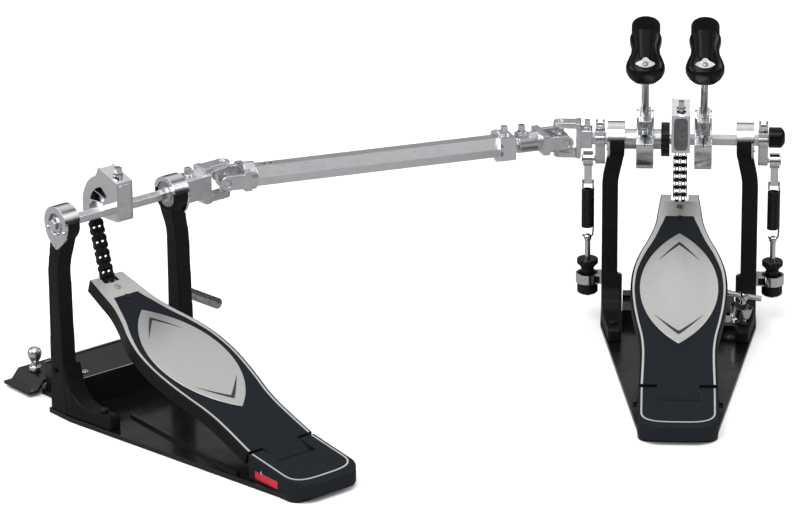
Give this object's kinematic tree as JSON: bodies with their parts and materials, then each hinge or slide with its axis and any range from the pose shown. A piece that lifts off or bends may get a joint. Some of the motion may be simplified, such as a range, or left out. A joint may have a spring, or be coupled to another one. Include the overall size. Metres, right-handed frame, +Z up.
{
  "type": "twin bass drum pedal",
  "caption": "Foot-operated twin drum beater: a main pedal with two beaters on a cam shaft, and a remote pedal that drives one of them through a telescoping shaft.",
  "frame": {"origin": "on the floor, straight under the middle of the main pedal's cam shaft", "axes": "+X to the right along the main cam shaft, +Y towards the drum, +Z up"},
  "size_m": [0.8259, 0.5709, 0.3704],
  "materials": {
    "black_enamel": "gloss",
    "black_post": "satin",
    "chrome": "polished",
    "satin_aluminium": "satin",
    "footboard_charcoal": "textured grip coating with a bare silver edge",
    "badge_silver": "brushed",
    "chain_black": "satin oiled",
    "spring_black": "satin",
    "black_plastic": "satin"
  },
  "bodies": {
    "main_frame": {"main_base_plate": "black_enamel", "main_heel_plate": "black_enamel", "main_front_bridge": "black_enamel", "main_post_left": "black_post", "main_post_right": "black_post", "main_bearing_caps": "chrome", "main_frame_screws": "chrome", "left_spring_holder": "chrome", "right_spring_holder": "chrome"},
    "right_footboard": {"main_footboard": "footboard_charcoal", "main_badge": "badge_silver", "main_toe_clamp": "chrome"},
    "main_chain_run_body": {"main_chain_run": "chain_black"},
    "main_chain_middle_body": {"main_chain_middle": "chain_black"},
    "main_chain_upper_body": {"main_chain_upper": "chain_black"},
    "main_shaft": {"main_cam_shaft": "satin_aluminium", "main_cam": "chrome", "main_chain_wrap": "chain_black", "right_beater_hub": "chrome", "right_spring_arm": "chrome", "shaft_end_cap": "black_plastic"},
    "right_beater": {"right_beater_rod": "chrome", "right_beater_head": "black_plastic"},
    "right_spring": {"right_spring_coil": "spring_black"},
    "right_spring_hook": {"right_spring_clip": "chrome"},
    "sleeve": {"left_sleeve": "satin_aluminium", "left_beater_hub": "chrome", "left_spring_arm": "chrome", "sleeve_yoke": "satin_aluminium"},
    "left_beater": {"left_beater_rod": "chrome", "left_beater_head": "black_plastic"},
    "left_spring": {"left_spring_coil": "spring_black"},
    "left_spring_hook": {"left_spring_clip": "chrome"},
    "right_tension_nut_body": {"right_tension_nut": "spring_black"},
    "left_tension_nut_body": {"left_tension_nut": "spring_black"},
    "hoop_jaw": {"hoop_clamp_jaw": "chrome"},
    "wing_bolt": {"hoop_wing_bolt": "chrome"},
    "drive_rod_body": {"drive_rod": "satin_aluminium"},
    "drive_tube_body": {"drive_tube": "satin_aluminium", "drive_tube_yoke": "satin_aluminium"},
    "main_cross_body": {"main_cross": "satin_aluminium"},
    "remote_cross_body": {"remote_cross": "satin_aluminium"},
    "remote_frame": {"remote_base_plate": "black_enamel", "remote_heel_plate": "black_enamel", "remote_front_box": "black_enamel", "remote_posts": "black_post", "remote_bearing_caps": "chrome", "remote_frame_screws": "chrome", "remote_outrigger": "black_enamel", "remote_tuning_key": "chrome"},
    "left_footboard": {"remote_footboard": "footboard_charcoal", "remote_badge": "badge_silver", "remote_toe_clamp": "chrome"},
    "remote_shaft": {"remote_cam_shaft": "satin_aluminium", "remote_cam": "chrome", "remote_shaft_yoke": "satin_aluminium"},
    "remote_chain_run_body": {"remote_chain_run": "chain_black"},
    "remote_chain_middle_body": {"remote_chain_middle": "chain_black"},
    "remote_chain_upper_body": {"remote_chain_upper": "chain_black"},
    "thumb_screw": {"remote_thumb_screw": "chrome"}
  },
  "joints": [
    {"name": "main_footboard_hinge", "type": "hinge", "parent": "main_frame", "child": "right_footboard", "pos_m": [0, -0.286, 0.016], "axis": [1, 0, 0], "range_deg": [-5.96, 0], "stiffness_Nm_per_rad": 12, "springref_deg": 20.05},
    {"name": "main_chain_toe", "type": "hinge", "parent": "right_footboard", "child": "main_chain_run_body", "pos_m": [0, 0.01701, 0.13218], "axis": [1, 0, 0], "range_deg": [0, 22.37]},
    {"name": "main_chain_bend_low", "type": "hinge", "parent": "main_chain_run_body", "child": "main_chain_middle_body", "pos_m": [0, 0.04252, 0.19087], "axis": [1, 0, 0], "range_deg": [-14.89, 0]},
    {"name": "main_chain_bend_high", "type": "hinge", "parent": "main_chain_middle_body", "child": "main_chain_upper_body", "pos_m": [0, 0.04491, 0.20656], "axis": [1, 0, 0], "range_deg": [-25.51, 0]},
    {"name": "main_shaft_turn", "type": "hinge", "parent": "main_frame", "child": "main_shaft", "pos_m": [0, 0, 0.21], "axis": [1, 0, 0], "range_deg": [-36.72, 0]},
    {"name": "right_beater_height", "type": "slide", "parent": "main_shaft", "child": "right_beater", "axis": [0, -0.6428, 0.766], "range_m": [-0.015, 0.008]},
    {"name": "right_spring_lean", "type": "hinge", "parent": "main_frame", "child": "right_spring", "pos_m": [0.102, 0, 0.096], "axis": [1, 0, 0], "range_deg": [0, 468.79]},
    {"name": "right_spring_stretch", "type": "slide", "parent": "right_spring", "child": "right_spring_hook", "axis": [0, 0, 1], "range_m": [0, 0.00554], "deforming": ["right_spring_coil"]},
    {"name": "remote_footboard_hinge", "type": "hinge", "parent": "remote_frame", "child": "left_footboard", "pos_m": [-0.38666, -0.44487, 0.016], "axis": [0.7317, 0.6816, 0], "range_deg": [-5.01, 0], "stiffness_Nm_per_rad": 12, "springref_deg": 20.05},
    {"name": "remote_chain_toe", "type": "hinge", "parent": "left_footboard", "child": "remote_chain_run_body", "pos_m": [-0.59615, -0.21998, 0.12014], "axis": [0.7317, 0.6816, 0], "range_deg": [0, 15.81]},
    {"name": "remote_chain_bend_low", "type": "hinge", "parent": "remote_chain_run_body", "child": "remote_chain_middle_body", "pos_m": [-0.6103, -0.2048, 0.18908], "axis": [0.7317, 0.6816, 0], "range_deg": [-360.84, 0]},
    {"name": "remote_chain_bend_high", "type": "hinge", "parent": "remote_chain_middle_body", "child": "remote_chain_upper_body", "pos_m": [-0.61227, -0.20268, 0.20473], "axis": [0.7317, 0.6816, 0], "range_deg": [-24.4, 0]},
    {"name": "remote_shaft_turn", "type": "hinge", "parent": "remote_frame", "child": "remote_shaft", "pos_m": [-0.5816, -0.2356, 0.21], "axis": [0.7317, 0.6816, 0], "range_deg": [-32.68, 0]},
    {"name": "remote_joint_cross", "type": "hinge", "parent": "remote_shaft", "child": "remote_cross_body", "pos_m": [-0.48223, -0.14304, 0.21], "axis": [0, 0, 1], "range_deg": [0, 175.95]},
    {"name": "drive_tube_turn", "type": "hinge", "parent": "remote_frame", "child": "drive_tube_body", "pos_m": [-0.48223, -0.14304, 0.21], "axis": [0.9266, 0.3761, 0], "range_deg": [-30.94, 0]},
    {"name": "drive_rod_turn", "type": "hinge", "parent": "main_frame", "child": "drive_rod_body", "pos_m": [-0.1298, 0, 0.21], "axis": [0.9266, 0.3761, 0], "range_deg": [-30.94, 0]},
    {"name": "sleeve_turn", "type": "hinge", "parent": "main_frame", "child": "sleeve", "pos_m": [0, 0, 0.21], "axis": [1, 0, 0], "range_deg": [-32.9, 0]},
    {"name": "main_joint_cross", "type": "hinge", "parent": "sleeve", "child": "main_cross_body", "pos_m": [-0.1298, 0, 0.21], "axis": [0, 0, 1], "range_deg": [-186.96, 0]},
    {"name": "left_beater_height", "type": "slide", "parent": "sleeve", "child": "left_beater", "axis": [0, -0.6428, 0.766], "range_m": [-0.015, 0.008]},
    {"name": "left_spring_lean", "type": "hinge", "parent": "main_frame", "child": "left_spring", "pos_m": [-0.0999, 0, 0.096], "axis": [1, 0, 0], "range_deg": [0, 430.12]},
    {"name": "left_spring_stretch", "type": "slide", "parent": "left_spring", "child": "left_spring_hook", "axis": [0, 0, 1], "range_m": [0, 0.00451], "deforming": ["left_spring_coil"]},
    {"name": "right_tension_nut_turn", "type": "hinge", "parent": "main_frame", "child": "right_tension_nut_body", "pos_m": [0.102, 0, 0.0675], "axis": [0, 0, 1], "continuous": true},
    {"name": "left_tension_nut_turn", "type": "hinge", "parent": "main_frame", "child": "left_tension_nut_body", "pos_m": [-0.0999, 0, 0.0675], "axis": [0, 0, 1], "continuous": true},
    {"name": "hoop_jaw_hinge", "type": "hinge", "parent": "main_frame", "child": "hoop_jaw", "pos_m": [0, 0.009, 0.0305], "axis": [-1, 0, 0], "range_deg": [0, 8]},
    {"name": "wing_bolt_turn", "type": "hinge", "parent": "hoop_jaw", "child": "wing_bolt", "pos_m": [0.0655, -0.046, 0.02], "axis": [0.1736, 0, 0.9848], "continuous": true},
    {"name": "remote_pedal_reach", "type": "slide", "parent": "main_frame", "child": "remote_frame", "axis": [-0.9266, -0.3761, 0], "range_m": [0, 0.06]},
    {"name": "thumb_screw_turn", "type": "hinge", "parent": "remote_frame", "child": "thumb_screw", "pos_m": [-0.67795, -0.20919, 0.031], "axis": [0, 0, 1], "continuous": true}
  ],
  "couplings": [
    {"joint": "main_chain_toe", "follows": "main_footboard_hinge", "ratio": -3.7447},
    {"joint": "main_chain_bend_low", "follows": "main_footboard_hinge", "ratio": 2.4892},
    {"joint": "main_chain_bend_high", "follows": "main_footboard_hinge", "ratio": 4.2725},
    {"joint": "main_shaft_turn", "follows": "main_footboard_hinge", "ratio": 6.1532},
    {"joint": "right_spring_lean", "follows": "main_footboard_hinge", "ratio": -1.3726},
    {"joint": "right_spring_stretch", "follows": "main_footboard_hinge", "m_per_rad": -0.053212},
    {"joint": "remote_chain_toe", "follows": "remote_footboard_hinge", "ratio": -3.1458},
    {"joint": "remote_chain_bend_low", "follows": "remote_footboard_hinge", "ratio": 1.257},
    {"joint": "remote_chain_bend_high", "follows": "remote_footboard_hinge", "ratio": 4.8606},
    {"joint": "remote_shaft_turn", "follows": "remote_footboard_hinge", "ratio": 6.5134},
    {"joint": "remote_joint_cross", "follows": "remote_footboard_hinge", "ratio": -0.61281},
    {"joint": "drive_tube_turn", "follows": "remote_footboard_hinge", "ratio": 6.1657},
    {"joint": "drive_rod_turn", "follows": "remote_footboard_hinge", "ratio": 6.1657},
    {"joint": "sleeve_turn", "follows": "remote_footboard_hinge", "ratio": 6.5566},
    {"joint": "main_joint_cross", "follows": "remote_footboard_hinge", "ratio": 0.65117},
    {"joint": "left_spring_lean", "follows": "remote_footboard_hinge", "ratio": -1.4983},
    {"joint": "left_spring_stretch", "follows": "remote_footboard_hinge", "m_per_rad": -0.051414}
  ]
}
